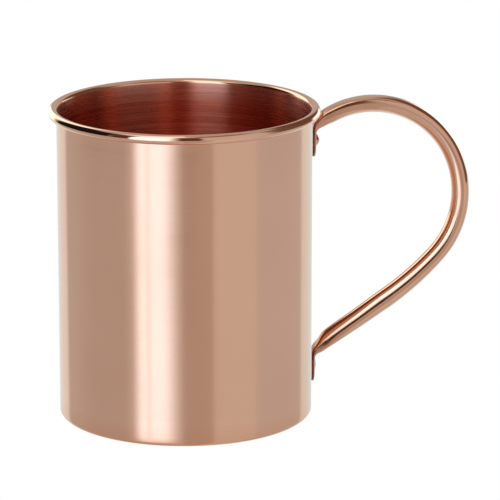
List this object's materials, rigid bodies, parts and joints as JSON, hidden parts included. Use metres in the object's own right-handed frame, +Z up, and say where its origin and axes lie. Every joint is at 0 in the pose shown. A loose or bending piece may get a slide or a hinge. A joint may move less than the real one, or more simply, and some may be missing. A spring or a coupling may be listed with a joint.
{
  "type": "copper mug",
  "caption": "Straight-sided copper drinking mug with an outward-rolled rim and a bowed tube handle whose flattened ends are riveted to the wall.",
  "frame": {"origin": "centre of the base, on the surface the mug stands on", "axes": "+Z up along the axis of the cup, +X toward the handle, which lies in the XZ plane"},
  "size_m": [0.1351, 0.0872, 0.1047],
  "materials": {
    "cup_copper": "polished copper outside, lathe-brushed inside",
    "handle_copper": "polished copper tube",
    "rivet_copper": "hammered copper"
  },
  "bodies": {
    "root": {"cup": "cup_copper", "handle": "handle_copper", "rivet_upper": "rivet_copper", "rivet_lower": "rivet_copper"}
  },
  "joints": []
}
